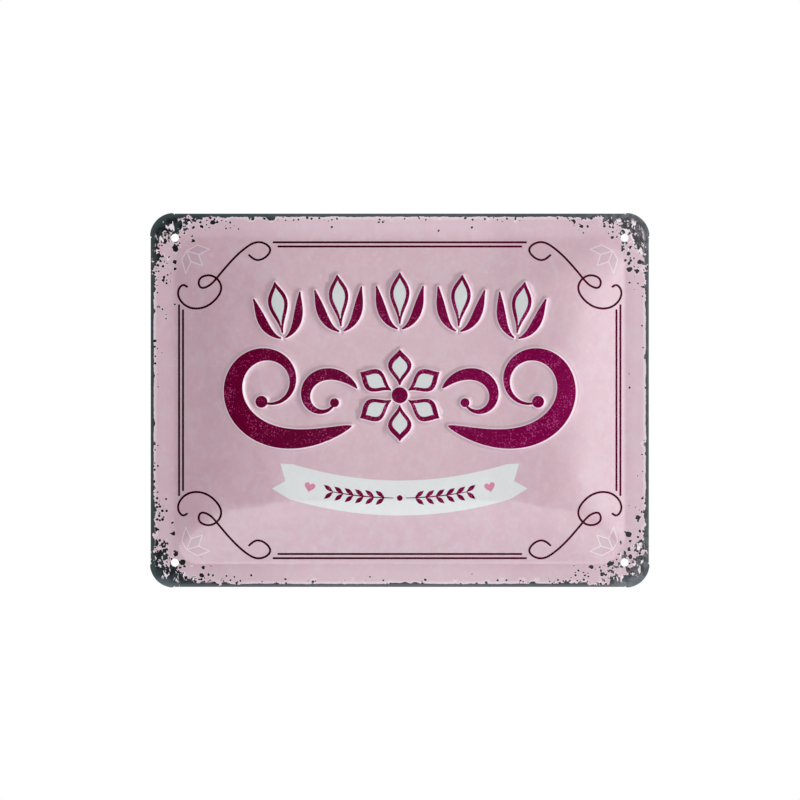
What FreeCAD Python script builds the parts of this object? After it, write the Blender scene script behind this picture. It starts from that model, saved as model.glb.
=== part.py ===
import FreeCAD, Part
import math
import os

# A tin sign: one sheet of thin steel, pressed, pierced and hemmed.
#
# Millimetres. X runs to the right as the sign is read, Z up, and the printed
# front looks along -Y. The origin is the centre of the four nail holes, in the
# plane of the rim's back face, so the rim lies between y = -sheet_t and y = 0.
# The hems are folded to the back and lie at positive y.

# Sheet and outline
sheet_t = 0.3
sign_width = 200.0
sign_height = 150.0
corner_r = 9.6

# Hems: each straight side is folded back between two unfolded corner tabs, with
# a narrow slit between fold and tab
hem_inset = 0.4
hem_gap = 0.2
hem_leg = 4.8
hem_end_slant = 3.0
slit_width = 0.3

# Nail holes in the corner tabs
hole_d = 3.2
hole_from_edge = 10.0

# Raised field: a bevel of constant slope that eases into a flat centre
rim_margin = 9.9
field_rise = 3.6
bevel_width = 15.0
ease_width = 19.0
foot_corner_r = 10.0
centre_corner_r = 21.9
roundest_corner = 0.9
ease_bands = 4
arcs_per_corner = 3

# Pressed relief: flat-topped strokes with sloping sides
relief_height = 0.6
relief_slope_width = 0.85
relief_root = 0.25
tip_half_width = 0.35
swell_sharpness = 1.2

# Sections along each kind of stroke, its two buried tips apart
petal_stations = 7
leaf_stations = 5
scroll_stations = 20
curl_stations = 13
steps_per_station = 12
flat_within = 1e-8

# Rosette in the middle of the field
rosette_z = 2.0
rosette_petals = 6
rosette_inner_r = 4.3
rosette_petal_length = 13.6
rosette_petal_half_width = 4.7
rosette_petal_widest_at = 0.56
rosette_boss_r = 3.2

# Large scroll, one each side, springing from below the rosette
scroll_x = 19.5
scroll_z = -10.3
scroll_heading = -20.0
scroll_length = 114.0
scroll_start_r = 330.0
scroll_end_r = 8.26
scroll_half_width = 4.3
scroll_widest_at = 0.33
scroll_ball_r = 2.4

# Small scroll, one each side, inside the large one and curling the other way
curl_x = 17.2
curl_z = 5.0
curl_heading = 48.0
curl_length = 43.5
curl_start_r = 22.2
curl_end_r = 5.13
curl_half_width = 2.4
curl_widest_at = 0.36
curl_ball_r = 1.8

# Row of tulips on a flat arc above the rosette, hung from the field's upper foot
tulip_count = 5
tulip_arc_r = 300.0
tulip_arc_drop = 36.6
tulip_step = 4.45
tulip_petal_start = 2.2
tulip_petal_length = 20.0
tulip_petal_half_width = 3.9
tulip_petal_widest_at = 0.6
leaf_offset = 1.1
leaf_angle = 66.0
leaf_length = 19.5
leaf_start_r = 8.2
leaf_end_r = -33.3
leaf_half_width = 1.8
leaf_widest_at = 0.5

# Worked out from the sizes above
half_x = sign_width / 2
half_z = sign_height / 2
field_half_x = half_x - rim_margin
field_half_z = half_z - rim_margin
slope_width = bevel_width + ease_width
centre_half = min(field_half_x, field_half_z) - slope_width
centre_r = min(centre_corner_r, roundest_corner * centre_half)
corner_growth = (centre_r - foot_corner_r) / slope_width
bevel_slope = field_rise / (bevel_width + ease_width / 2)
bend_outer_r = sheet_t + hem_gap / 2
bend_inner_r = hem_gap / 2
side_x = half_x - hem_inset - bend_outer_r
side_z = half_z - hem_inset - bend_outer_r
foot_reach = relief_slope_width * (1 + relief_root / relief_height)
tulip_arc_top = field_half_z - tulip_arc_drop
scroll_bends = (1 / scroll_start_r, 1 / scroll_end_r)
curl_bends = (-1 / curl_start_r, -1 / curl_end_r)
leaf_bends = (1 / leaf_start_r, 1 / leaf_end_r)
no_bend = (0, 0)


def point(x, y, z):
    return FreeCAD.Vector(x, y, z)


def rise(inset):
    """Height of the field at a distance inside its foot line."""
    if inset <= 0:
        return 0.0
    if inset <= bevel_width:
        return bevel_slope * inset
    eased = min(inset - bevel_width, ease_width)
    return bevel_slope * (bevel_width + eased - eased ** 2 / (2 * ease_width))


def inset_at(x, z):
    """Distance inside the foot line at a place on the front.

    The contour at inset d is a rectangle, d smaller all round, with corners of
    radius r = foot_corner_r + corner_growth * d. On the straight stretches d is
    the distance to the nearer side. In a corner the place lies on that arc,
    (a + g d)^2 + (b + g d)^2 = r^2 with g = 1 + corner_growth, solved for d.
    """
    past_x = abs(x) - field_half_x
    past_z = abs(z) - field_half_z
    straight = -max(past_x, past_z)
    radius = foot_corner_r + corner_growth * straight
    if straight <= 0 or min(past_x, past_z) + straight + radius <= 0:
        return straight
    grow = 1 + corner_growth
    a = past_x + foot_corner_r
    b = past_z + foot_corner_r
    square = 2 * grow ** 2 - corner_growth ** 2
    half_linear = grow * (a + b) - foot_corner_r * corner_growth
    constant = a ** 2 + b ** 2 - foot_corner_r ** 2
    root = max(half_linear ** 2 - square * constant, 0.0)
    return (math.sqrt(root) - half_linear) / square


def front_y(x, z, above=0.0):
    """Y of the front face, or of a level above it, at a place on the field."""
    return -sheet_t - rise(inset_at(x, z)) - above


def corner_arcs(reach_x, reach_z, radius, y):
    """Arcs of an upright rounded rectangle at one depth, grouped by corner."""
    centre_x = reach_x - radius
    centre_z = reach_z - radius
    sweep = 90 / arcs_per_corner
    corners = []
    for sign_x, sign_z, start in ((1, 1, 0), (-1, 1, 90), (-1, -1, 180), (1, -1, 270)):
        arcs = []
        for index in range(arcs_per_corner):
            spots = []
            for share in (0, 0.5, 1):
                angle = math.radians(start + sweep * (index + share))
                x = sign_x * centre_x + radius * math.cos(angle)
                z = sign_z * centre_z + radius * math.sin(angle)
                spots.append(point(x, y, z))
            arcs.append(Part.Arc(*spots).toShape())
        corners.append(arcs)
    return corners


def first_point(edge):
    return edge.valueAt(edge.FirstParameter)


def last_point(edge):
    return edge.valueAt(edge.LastParameter)


def closed_solid(faces):
    """Solid inside faces that meet edge to edge all round."""
    shell = Part.makeShell(faces)
    shell.sewShape()
    return Part.makeSolid(shell)


def flat_face(corners):
    """Flat face inside straight sides from corner to corner."""
    return Part.Face(Part.makePolygon(list(corners) + [corners[0]]))


def outline_face(corners):
    """Flat face inside the arcs and the straight sides that join them."""
    edges = []
    for index, arcs in enumerate(corners):
        following = corners[(index + 1) % len(corners)]
        edges += arcs
        edges.append(Part.makeLine(last_point(arcs[-1]), first_point(following[0])))
    return Part.Face(Part.Wire(edges))


def side_sizes(quarter):
    """Outer reach, fold line and hem length of one side, counted by quarters."""
    if quarter % 2 == 0:
        return half_x, side_x, sign_height - 2 * (corner_r + slit_width)
    return half_z, side_z, sign_width - 2 * (corner_r + slit_width)


def to_side(shape, quarter):
    """Turn a shape made for the right-hand side to the side of one quarter."""
    shape.rotate(point(0, 0, 0), point(0, 1, 0), -90 * quarter)
    return shape


def rim():
    """Flat sheet out to the fold lines, with a rounded tab at each corner."""
    outline = outline_face(corner_arcs(half_x, half_z, corner_r, 0))
    plate = outline.extrude(point(0, -sheet_t, 0))
    strips = []
    for quarter in range(4):
        reach, fold, run = side_sizes(quarter)
        length = run + 2 * slit_width
        strip = Part.makeBox(reach, sheet_t, length, point(fold, -sheet_t, -length / 2))
        strips.append(to_side(strip, quarter))
    return plate.cut(strips)


def hem(quarter):
    """Half-round fold and flat leg of one side, turned to its place."""
    fold, run = side_sizes(quarter)[1:]
    middle_y = bend_inner_r
    start_z = -run / 2
    ring = []
    for radius in (bend_outer_r, bend_inner_r):
        low = point(fold, middle_y - radius, start_z)
        side = point(fold + radius, middle_y, start_z)
        high = point(fold, middle_y + radius, start_z)
        ring.append((low, side, high))
    (low_out, side_out, high_out), (low_in, side_in, high_in) = ring
    section = Part.Wire([
        Part.Arc(low_out, side_out, high_out).toShape(),
        Part.LineSegment(high_out, high_in).toShape(),
        Part.Arc(high_in, side_in, low_in).toShape(),
        Part.LineSegment(low_in, low_out).toShape(),
    ])
    bend = Part.Face(section).extrude(point(0, 0, run))
    leg_y = hem_gap
    leg_face = flat_face([
        point(fold, leg_y, -run / 2),
        point(fold, leg_y, run / 2),
        point(fold - hem_leg, leg_y, run / 2 - hem_end_slant),
        point(fold - hem_leg, leg_y, -run / 2 + hem_end_slant),
    ])
    leg = leg_face.extrude(point(0, sheet_t, 0))
    return to_side(bend.fuse(leg), quarter)


def contour(inset):
    """Corner arcs of the field's outline at one inset, lifted to its height."""
    radius = foot_corner_r + corner_growth * inset
    y = -sheet_t - rise(inset)
    return corner_arcs(field_half_x - inset, field_half_z - inset, radius, y)


def band(outer, inner):
    """Faces between two contours: ruled round the corners, flat along the sides."""
    faces = []
    for index in range(len(outer)):
        following = (index + 1) % len(outer)
        for low, high in zip(outer[index], inner[index]):
            faces.append(Part.makeRuledSurface(low, high))
        low_start = last_point(outer[index][-1])
        low_end = first_point(outer[following][0])
        high_start = last_point(inner[index][-1])
        high_end = first_point(inner[following][0])
        faces.append(flat_face([low_start, low_end, high_end, high_start]))
    return faces


def raised_field():
    """Closed solid under the field: a broad bevel, then narrow easing bands."""
    insets = [0.0, bevel_width]
    for index in range(ease_bands):
        insets.append(bevel_width + ease_width * (index + 1) / ease_bands)
    contours = [contour(inset) for inset in insets]
    faces = [outline_face(contours[0]), outline_face(contours[-1])]
    for outer, inner in zip(contours, contours[1:]):
        faces += band(outer, inner)
    return closed_solid(faces)


def spine(start, heading, length, bends, stations):
    """Places and directions along a curve whose bend changes evenly.

    The curvature goes from one bend to the other, in radians per millimetre, so
    the direction after a share s of the length is
    heading + length * (bend_start * s + (bend_end - bend_start) * s^2 / 2).
    """
    bend_start, bend_end = bends
    steps = steps_per_station * (stations - 1)
    x, z = start
    places = [(x, z, math.radians(heading))]
    for step in range(steps):
        middle = (step + 0.5) / steps
        end = (step + 1) / steps
        turns = [bend_start * s + (bend_end - bend_start) * s ** 2 / 2 for s in (middle, end)]
        angle = math.radians(heading) + length * turns[0]
        x += math.cos(angle) * length / steps
        z += math.sin(angle) * length / steps
        if (step + 1) % steps_per_station == 0:
            places.append((x, z, math.radians(heading) + length * turns[1]))
    return places


def swell(share, widest, widest_at):
    """Half width of a stroke: thin ends and a belly at widest_at."""
    warped = share ** (math.log(0.5) / math.log(widest_at))
    belly = math.sin(math.pi * warped) ** swell_sharpness
    return tip_half_width + (widest - tip_half_width) * belly


def facets(corners):
    """One flat face through four corners, or two where the fourth lies off it."""
    a, b, c, d = corners
    normal = (b - a).cross(c - a).normalize()
    if abs(normal.dot(d - a)) < flat_within:
        return [flat_face(corners)]
    return [flat_face((a, b, c)), flat_face((a, c, d))]


def faceted_loft(sections):
    """Solid through sections of equally many corners, made of flat faces."""
    faces = [flat_face(sections[0]), flat_face(sections[-1])]
    for near, far in zip(sections, sections[1:]):
        for index in range(len(near)):
            following = (index + 1) % len(near)
            faces += facets((near[index], near[following], far[following], far[index]))
    return closed_solid(faces)


def stroke(places, widest, widest_at):
    """Pressed stroke: a loft through flat-topped sections square to its spine.

    Past each tip it runs down to a small section below the surface, so its ends
    slope as its sides do and no wall is square to the sheet.
    """
    last = len(places) - 1
    sections = [tip_section(places[0], -1)]
    for index, place in enumerate(places):
        half_width = swell(index / last, widest, widest_at)
        sections.append(stroke_section(place, half_width, half_width + foot_reach,
                                       relief_height, -relief_root))
    sections.append(tip_section(places[-1], 1))
    return faceted_loft(sections)


def stroke_section(place, top_half_width, foot_half_width, top, foot):
    """Four corners square to the spine, each measured from the field's surface."""
    x, z, angle = place
    across_x = -math.sin(angle)
    across_z = math.cos(angle)
    spots = []
    for reach, above in (
        (top_half_width, top),
        (-top_half_width, top),
        (-foot_half_width, foot),
        (foot_half_width, foot),
    ):
        spot_x = x + reach * across_x
        spot_z = z + reach * across_z
        spots.append(point(spot_x, front_y(spot_x, spot_z, above), spot_z))
    return spots


def tip_section(place, way):
    """Small buried section, one slope past the first or last place of a spine."""
    x, z, angle = place
    past = (x + way * foot_reach * math.cos(angle), z + way * foot_reach * math.sin(angle), angle)
    return stroke_section(past, tip_half_width / 2, tip_half_width, -relief_root, -2 * relief_root)


def boss(x, z, radius):
    """Round flat-topped boss with a sloping side."""
    base = front_y(x, z, -relief_root)
    height = relief_height + relief_root
    return Part.makeCone(radius + foot_reach, radius, height, point(x, base, z), point(0, -1, 0))


def mirrored(places):
    """The same spine on the other side of the sign's upright middle line."""
    return [(-x, z, math.pi - angle) for x, z, angle in places]


def rosette():
    petals = []
    for index in range(rosette_petals):
        heading = 90 + 360 * index / rosette_petals
        angle = math.radians(heading)
        start = (rosette_inner_r * math.cos(angle), rosette_z + rosette_inner_r * math.sin(angle))
        places = spine(start, heading, rosette_petal_length, no_bend, petal_stations)
        petals.append(stroke(places, rosette_petal_half_width, rosette_petal_widest_at))
    return petals + [boss(0, rosette_z, rosette_boss_r)]


def scroll_pair(right, widest, widest_at, ball_r):
    """A swelling scroll with a ball at its inner end, and its mirror image."""
    pair = []
    for places in (right, mirrored(right)):
        pair.append(stroke(places, widest, widest_at))
        end_x, end_z = places[-1][:2]
        pair.append(boss(end_x, end_z, ball_r))
    return pair


def tulips():
    shapes = []
    middle = (tulip_count - 1) / 2
    for index in range(tulip_count):
        heading = 90 + tulip_step * (middle - index)
        angle = math.radians(heading)
        along = (math.cos(angle), math.sin(angle))
        foot_x = tulip_arc_r * along[0]
        foot_z = tulip_arc_top + tulip_arc_r * (along[1] - 1)
        start = (foot_x + tulip_petal_start * along[0], foot_z + tulip_petal_start * along[1])
        places = spine(start, heading, tulip_petal_length, no_bend, petal_stations)
        shapes.append(stroke(places, tulip_petal_half_width, tulip_petal_widest_at))
        for side in (1, -1):
            start = (foot_x - side * leaf_offset * along[1], foot_z + side * leaf_offset * along[0])
            bends = [-side * bend for bend in leaf_bends]
            places = spine(start, heading + side * leaf_angle, leaf_length, bends, leaf_stations)
            shapes.append(stroke(places, leaf_half_width, leaf_widest_at))
    return shapes


def relief():
    """Every pressed stroke and boss of the ornament."""
    scroll = spine((scroll_x, scroll_z), scroll_heading, scroll_length, scroll_bends, scroll_stations)
    curl = spine((curl_x, curl_z), curl_heading, curl_length, curl_bends, curl_stations)
    shapes = rosette() + tulips()
    shapes += scroll_pair(scroll, scroll_half_width, scroll_widest_at, scroll_ball_r)
    shapes += scroll_pair(curl, curl_half_width, curl_widest_at, curl_ball_r)
    return shapes


def nail_holes():
    """Four round cutters through the corner tabs."""
    cutters = []
    for side in (-1, 1):
        for level in (-1, 1):
            x = side * (half_x - hole_from_edge)
            z = level * (half_z - hole_from_edge)
            start = point(x, -2 * sheet_t, z)
            cutters.append(Part.makeCylinder(hole_d / 2, 3 * sheet_t, start, point(0, 1, 0)))
    return cutters


def sign_sheet():
    """The whole sheet: rim and hems, with the field pushed forward from behind."""
    pressed = raised_field().multiFuse(relief())
    hollow = pressed.copy()
    hollow.translate(point(0, sheet_t, 0))
    flat = rim().multiFuse([hem(quarter) for quarter in range(4)])
    sheet = flat.fuse(pressed).cut(hollow)
    return sheet.cut(nail_holes())


if __name__ == "__main__":
    os.makedirs("parts", exist_ok=True)
    sheet = sign_sheet()
    if len(sheet.Solids) == 1:
        sheet = sheet.Solids[0]
    sheet.exportStep("parts/sign_sheet.step")
    box = sheet.BoundBox
    print("sign_sheet", "valid", sheet.isValid(), "solids", len(sheet.Solids))
    print("size", round(box.XLength, 3), round(box.YLength, 3), round(box.ZLength, 3))
    print("volume", round(sheet.Volume, 1), "faces", len(sheet.Faces))
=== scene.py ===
# %% [markdown]
# # A pressed and printed tin sign
#
# The real sign is one sheet of thin tinplate. It is printed flat, lacquered, and
# then pressed, so that the middle field stands forward and the ornament stands
# out of the field. The four straight sides are folded to the back, and the
# corner tabs between them stay flat and carry the nail holes.
#
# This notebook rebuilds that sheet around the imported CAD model. The CAD model
# says how large the sheet is and where everything lies; the cells below give
# it fine rounded pressing, crisp print and a worn edge.

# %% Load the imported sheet
import math
from functools import partial

import bpy
import numpy as np
from mathutils.geometry import delaunay_2d_cdt
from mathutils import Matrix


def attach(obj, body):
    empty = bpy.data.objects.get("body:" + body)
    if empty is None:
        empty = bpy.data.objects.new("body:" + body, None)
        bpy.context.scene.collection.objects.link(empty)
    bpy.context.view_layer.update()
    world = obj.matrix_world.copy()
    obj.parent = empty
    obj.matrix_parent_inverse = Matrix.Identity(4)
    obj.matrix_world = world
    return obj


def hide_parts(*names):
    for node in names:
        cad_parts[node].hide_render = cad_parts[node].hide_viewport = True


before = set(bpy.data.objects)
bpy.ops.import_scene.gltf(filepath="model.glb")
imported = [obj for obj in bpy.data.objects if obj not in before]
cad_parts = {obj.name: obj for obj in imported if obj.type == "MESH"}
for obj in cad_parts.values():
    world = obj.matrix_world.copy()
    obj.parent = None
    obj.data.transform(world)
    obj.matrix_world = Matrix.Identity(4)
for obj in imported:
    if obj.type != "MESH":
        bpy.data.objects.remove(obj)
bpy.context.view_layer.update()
mm = 0.001
print(len(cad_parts), "CAD node")

# %% [markdown]
# ## The camera
#
# The photograph looks at the sign square on. The sign is 200 mm wide and covers
# 499.5 of the picture's 800 pixels, which gives the width of the view. A long
# lens keeps the perspective as flat as it is there. The sign's middle lies a
# quarter of a pixel beside the picture's middle, so the camera moves by that
# much instead of shifting its lens.

# %% Camera
picture_px, sign_px, sign_middle_px = 800, 499.5, (399.75, 400.25)
sign_width = 200 * mm
lens_mm, sensor_mm = 100.0, 36.0
view_width = sign_width * picture_px / sign_px
camera_distance = view_width * lens_mm / sensor_mm
pixel = view_width / picture_px

scene = bpy.context.scene
camera_data = bpy.data.cameras.new("camera")
camera_data.lens = lens_mm
camera_data.sensor_width = sensor_mm
camera = bpy.data.objects.new("camera", camera_data)
camera.location = (
    (picture_px / 2 - sign_middle_px[0]) * pixel,
    -camera_distance,
    (sign_middle_px[1] - picture_px / 2) * pixel,
)
camera.rotation_euler = (math.radians(90), 0, 0)
scene.collection.objects.link(camera)
scene.camera = camera
print("camera", [round(v, 4) for v in camera.location], "view width", round(view_width, 4))

# %% [markdown]
# ## Words for shader nodes
#
# The world, one lamp and all materials are trees of nodes. Written out in full,
# a node takes several lines, so a few short words stand for the common steps. A
# socket knows which tree it belongs to, and a step can therefore be written
# like arithmetic: times(a, b) puts a Math node beside a and b and wires it up.

# %% Placing and wiring nodes
def feed(node, values):
    """Fill a node's inputs: a socket is linked, anything else is written in."""
    for name, value in values.items():
        if isinstance(value, bpy.types.NodeSocket):
            node.id_data.links.new(value, node.inputs[name])
        else:
            node.inputs[name].default_value = value


def put(tree, kind, values=None, **settings):
    """New node of a kind, with its settings and its inputs."""
    node = tree.nodes.new(kind)
    for name, value in settings.items():
        setattr(node, name, value)
    feed(node, values or {})
    return node


world = bpy.data.worlds.new("studio")
scene.world = world
world.use_nodes = True
world.node_tree.nodes.clear()
rays = put(world.node_tree, "ShaderNodeLightPath").outputs
print("a Light Path node tells of", len(rays), "things")


# %% Arithmetic on sockets
def calc(operation, *values):
    """One step of arithmetic on sockets and numbers, in the tree of its first socket."""
    tree = next(v for v in values if isinstance(v, bpy.types.NodeSocket)).id_data
    return put(tree, "ShaderNodeMath", dict(enumerate(values)), operation=operation).outputs[0]


plus, minus, times = partial(calc, "ADD"), partial(calc, "SUBTRACT"), partial(calc, "MULTIPLY")
times_plus = partial(calc, "MULTIPLY_ADD")
larger, unsigned = partial(calc, "MAXIMUM"), partial(calc, "ABSOLUTE")


def split(vector):
    """The three parts of a vector."""
    return put(vector.id_data, "ShaderNodeSeparateXYZ", {0: vector}).outputs


def ramp(value, low, high, to_low=0.0, to_high=1.0):
    """Smooth step: to_low where the value is low, to_high where it is high."""
    return put(value.id_data, "ShaderNodeMapRange", {
        "Value": value, "From Min": low, "From Max": high, "To Min": to_low, "To Max": to_high,
    }, interpolation_type="SMOOTHSTEP").outputs["Result"]


seen = larger(larger(rays["Is Camera Ray"], rays["Is Glossy Ray"]), rays["Is Transmission Ray"])
print("three kinds of rays see the background, joined by", seen.node.operation)

# %% [markdown]
# ## Studio light
#
# The photograph has a plain white background. The world is white only to the
# camera, to reflections and to rays that pass through; for diffuse light it is
# a soft, weaker fill, so the white costs no exposure.
#
# The field's right slopes are bright and its left slopes are dark, so the key
# lamp stands far to the right and grazes the sheet. It isn't mirrored, because
# its image would be a hard white spot. Lacquer does mirror two softboxes: the
# lower part of the field a low one with a sharp upper edge, and the right part
# a large one that fades across its width and lights nothing else. A lamp behind
# the sign lights its back in the other views. No lamp is seen by the camera,
# because other views look towards them.

# %% World
fill_strength, fill_tint = 0.455, (0.97, 0.98, 1.0, 1)
sky = world.node_tree
fill = put(sky, "ShaderNodeBackground", {"Color": fill_tint, "Strength": fill_strength})
white = put(sky, "ShaderNodeBackground", {"Color": (1, 1, 1, 1), "Strength": 1.0})
either = put(sky, "ShaderNodeMixShader", {0: seen, 1: fill.outputs[0], 2: white.outputs[0]})
put(sky, "ShaderNodeOutputWorld", {"Surface": either.outputs[0]})
scene.view_settings.view_transform = "Standard"
print("fill light", fill_strength, "view transform", scene.view_settings.view_transform)


# %% One soft lamp
def lamp(name, watts, size, place, aim=(0, 0, 0), tint=(1, 1, 1), fade=None):
    """Rectangular soft lamp of a width and height at a place, turned to shine at its aim.

    fade is two shares of its width, between which it rises from dark to full.
    """
    data = bpy.data.lights.new(name, "AREA")
    data.shape = "RECTANGLE"
    data.size, data.size_y = size
    data.energy = watts
    data.color = tint
    if fade:
        data.use_nodes = True
        tree = data.node_tree
        across = split(put(tree, "ShaderNodeNewGeometry").outputs["Parametric"])[0]
        feed(tree.nodes["Emission"], {"Strength": ramp(across, *fade)})
    light = bpy.data.objects.new(name, data)
    away = np.array(place, float) - np.array(aim, float)
    flat = math.hypot(away[0], away[1])
    light.location = place
    light.rotation_euler = (math.atan2(flat, away[2]), 0, math.atan2(away[0], -away[1]))
    light.visible_camera = False
    scene.collection.objects.link(light)
    print(name, watts, "W at", round(float(np.linalg.norm(away)), 2), "m")
    return light


warm, cool = (1.0, 0.99, 0.985), (0.95, 0.98, 1.0)
print("lamp tints", warm, cool)

# %% The four lamps
key = lamp("key_lamp", 172, (2.6, 2.6), (3.6, -1.46, -0.73), tint=warm)
key.visible_glossy = False
lamp("lower_softbox", 0.84, (0.80, 0.145), (0, -0.60, -0.2225), aim=(0, 0, -0.2225), tint=cool)
side = lamp("right_softbox", 10.5, (0.78, 0.80), (0.45, -0.95, 0.22), aim=(0.45, 0, 0.22),
            tint=cool, fade=(0.09, 0.85))
side.visible_diffuse = False
lamp("back_lamp", 14, (1.2, 0.8), (-0.9, 1.3, 0.9))

# %% [markdown]
# ## From arrays to a mesh
#
# Every surface is an array of points and an array of triangles, worked out with
# numpy. A pressed sheet is smooth where it bends and sharp where it is cut, so
# each triangle also brings the normals of its three corners. Such a surface,
# with the number of its material, is a patch. Patches that meet bring the same
# points, and these are welded into one, so the piece is closed.

# %% Triangles of a grid
def grid_triangles(rows, columns, closed=False):
    """Two triangles for each cell of a grid; closed joins the last column to the first."""
    row, column = np.meshgrid(
        np.arange(rows - 1), np.arange(columns - (not closed)), indexing="ij")
    a = row * columns + column
    b = row * columns + (column + 1) % columns
    c = b + columns
    d = a + columns
    return np.stack([np.stack([a, b, c], -1), np.stack([a, c, d], -1)], 2).reshape(-1, 3)


print("a grid of 3 by 4 points has", len(grid_triangles(3, 4)), "triangles")


# %% Patches that face the right way
def face_normals(points, triangles):
    """Unit normal of each triangle: the cross product of two sides over its length."""
    a, b, c = (points[triangles[:, k]] for k in range(3))
    normal = np.cross(b - a, c - a)
    return normal / np.maximum(np.linalg.norm(normal, axis=1, keepdims=True), 1e-20)


def smooth_patch(points, triangles, normals, slot=0):
    """Surface whose corners take the normals of its points, turned to face along them."""
    away = (face_normals(points, triangles) * normals[triangles].sum(1)).sum(1) < 0
    turned = np.where(away[:, None], triangles[:, ::-1], triangles)
    return points, turned, normals[turned], slot


def flat_patch(points, triangles, towards, slot=0):
    """Surface of flat triangles, each turned to face along the vectors in towards."""
    normal = face_normals(points, triangles)
    away = ((normal * towards).sum(1) < 0)[:, None]
    turned = np.where(away, triangles[:, ::-1], triangles)
    return points, turned, np.repeat(np.where(away, -normal, normal)[:, None], 3, axis=1), slot


square = np.array([[0.0, 0, 0], [1, 0, 0], [0, 0, 1], [1, 0, 1]])
square_patch = flat_patch(square, grid_triangles(2, 2), np.array([0.0, -1, 0]))
print("an upright square faces", square_patch[2][0, 0])


# %% Welding
def weld(patches, near=1e-4):
    """One surface from several patches. Points nearer than near become one."""
    points = np.vstack([patch[0] for patch in patches])
    shift = np.cumsum([0] + [len(patch[0]) for patch in patches[:-1]])
    triangles = np.vstack([patch[1] + k for patch, k in zip(patches, shift)])
    normals = np.vstack([patch[2] for patch in patches])
    slots = np.concatenate([np.full(len(patch[1]), patch[3]) for patch in patches])
    keys = np.round(points / near).astype(np.int64)
    _, first, same = np.unique(keys, axis=0, return_index=True, return_inverse=True)
    triangles = same.reshape(-1)[triangles]
    whole = (triangles != np.roll(triangles, 1, axis=1)).all(1)
    return points[first], triangles[whole], normals[whole], slots[whole]


print("welded to itself, the square keeps", len(weld([square_patch, square_patch])[0]), "points")


# %% Counting open edges
def open_edges(triangles):
    """Number of edges that don't have exactly one partner running the other way."""
    size = int(triangles.max()) + 1
    start = triangles.ravel()
    end = np.roll(triangles, -1, axis=1).ravel()
    one_way, count = np.unique(start.astype(np.int64) * size + end, return_counts=True)
    other_way = np.unique(end.astype(np.int64) * size + start)
    return int((count > 1).sum() + len(np.setdiff1d(one_way, other_way)))


print("the square has", open_edges(weld([square_patch])[1]), "open edges")


# %% From patches to a piece
def make_piece(name, patches, materials):
    """Mesh object in metres from patches in millimetres."""
    points, triangles, normals, slots = weld(patches)
    mesh = bpy.data.meshes.new(name)
    mesh.vertices.add(len(points))
    mesh.vertices.foreach_set("co", (points * mm).ravel())
    mesh.loops.add(triangles.size)
    mesh.loops.foreach_set("vertex_index", triangles.ravel())
    mesh.polygons.add(len(triangles))
    mesh.polygons.foreach_set("loop_start", np.arange(len(triangles)) * 3)
    mesh.polygons.foreach_set("material_index", slots)
    mesh.polygons.foreach_set("use_smooth", np.ones(len(triangles), bool))
    for material in materials:
        mesh.materials.append(material)
    mesh.update(calc_edges=True)
    mesh.normals_split_custom_set(normals.reshape(-1, 3).tolist())
    piece = bpy.data.objects.new(name, mesh)
    scene.collection.objects.link(piece)
    print(name, len(triangles), "triangles,", open_edges(triangles), "open edges")
    return piece


# %% [markdown]
# ## Colours and patterns
#
# No real surface has one flat colour. Noise of a stated size in millimetres
# gives clouds, dabs and grain, and a mask lays one colour over another. All
# patterns read Object coordinates, so they lie still on the sheet, whatever
# the camera does. Colours are written as a picture shows them, from 0 to 255,
# and are turned into linear light.

# %% Colours, and coats laid over them
def srgb(red, green, blue):
    """Colour of a picture as linear light: v / 12.92 below 0.04, else a power of 2.4."""
    shown = np.array([red, green, blue]) / 255
    light = np.where(shown <= 0.04045, shown / 12.92, ((shown + 0.055) / 1.055) ** 2.4)
    return (*light.tolist(), 1.0)


def layers(colour, *coats):
    """A colour with coats laid over it one by one, each where its mask is 1."""
    for mask, coat in coats:
        mix = put(mask.id_data, "ShaderNodeMix", {0: mask, 6: colour, 7: coat}, data_type="RGBA")
        colour = mix.outputs[2]
    return colour


print("middle grey as light", round(srgb(128, 128, 128)[0], 3))


# %% Patterns in millimetres
def in_mm(tree, scale=(1, 1, 1), move=(0, 0, 0)):
    """Object coordinates in millimetres, stretched and moved."""
    where = put(tree, "ShaderNodeTexCoord").outputs["Object"]
    stretch = tuple(1000 * s for s in scale)
    mapping = put(tree, "ShaderNodeMapping", {"Vector": where, "Scale": stretch, "Location": move})
    return mapping.outputs[0]


def noise(vector, size, detail=3.0, roughness=0.55, distortion=0.0):
    """Noise from 0 to 1 with features of about size millimetres."""
    per_mm = calc("DIVIDE", 1.0, size) if isinstance(size, bpy.types.NodeSocket) else 1.0 / size
    return put(vector.id_data, "ShaderNodeTexNoise", {
        "Vector": vector, "Scale": per_mm, "Detail": detail,
        "Roughness": roughness, "Distortion": distortion,
    }).outputs["Fac"]


def new_material(name):
    """Material with its own empty tree and a Principled shader wired to its output."""
    material = bpy.data.materials.new(name)
    material.use_nodes = True
    tree = material.node_tree
    tree.nodes.clear()
    shader = put(tree, "ShaderNodeBsdfPrincipled")
    put(tree, "ShaderNodeOutputMaterial", {"Surface": shader.outputs[0]})
    return material, tree, shader


print("materials so far", len(bpy.data.materials))

# %% [markdown]
# ## Floor
#
# A pale round paper lies below the sign, outside the photograph's view, and
# catches its shadow in the other views. The camera sees it fade to white far
# out, so that it has no visible rim.

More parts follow.
